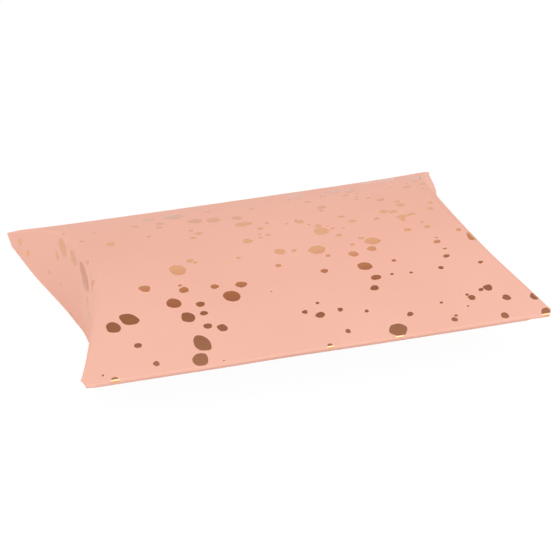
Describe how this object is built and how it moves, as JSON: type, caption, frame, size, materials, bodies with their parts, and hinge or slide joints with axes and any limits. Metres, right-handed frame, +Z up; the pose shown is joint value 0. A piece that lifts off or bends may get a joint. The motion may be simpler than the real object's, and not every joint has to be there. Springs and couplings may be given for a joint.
{
  "type": "pillow box",
  "caption": "Pillow-shaped gift box of folded card: two bowed panels joined along long folds, each end closed by a pair of curved overlapping flaps that hinge at their scores.",
  "frame": {"origin": "on the table under the middle of the box", "axes": "+X along the long folds, +Y from the front fold to the glued rear edge, +Z up"},
  "size_m": [0.23, 0.2, 0.05],
  "materials": {
    "printed_card": "smooth blush card with a satin surface",
    "inner_card": "plain uncoated inside face",
    "glue": "dried glue film",
    "rose_gold_foil": "mirror-bright stamped foil"
  },
  "bodies": {
    "sleeve": {"top_panel": "printed_card", "bottom_panel": "printed_card", "front_fold": "printed_card", "rear_fold": "printed_card", "glue_tab": "inner_card", "glue_line": "glue"},
    "right_outer": {"right_outer_flap": "printed_card"},
    "right_inner": {"right_inner_flap": "printed_card"},
    "left_outer": {"left_outer_flap": "printed_card"},
    "left_inner": {"left_inner_flap": "printed_card"}
  },
  "joints": [
    {"name": "right_outer_score", "type": "hinge", "parent": "sleeve", "child": "right_outer", "pos_m": [0.0922, 0, 0.05], "axis": [0, -1, 0], "range_deg": [0, 90]},
    {"name": "left_outer_score", "type": "hinge", "parent": "sleeve", "child": "left_outer", "pos_m": [-0.0922, 0, 0.05], "axis": [0, 1, 0], "range_deg": [0, 90]},
    {"name": "right_inner_score", "type": "hinge", "parent": "sleeve", "child": "right_inner", "pos_m": [0.0914, 0, 0], "axis": [0, 1, 0], "range_deg": [0, 54]},
    {"name": "left_inner_score", "type": "hinge", "parent": "sleeve", "child": "left_inner", "pos_m": [-0.0914, 0, 0], "axis": [0, -1, 0], "range_deg": [0, 54]}
  ],
  "couplings": [
    {"joint": "right_inner_score", "follows": "right_outer_score", "ratio": 0.6},
    {"joint": "left_inner_score", "follows": "left_outer_score", "ratio": 0.6}
  ]
}
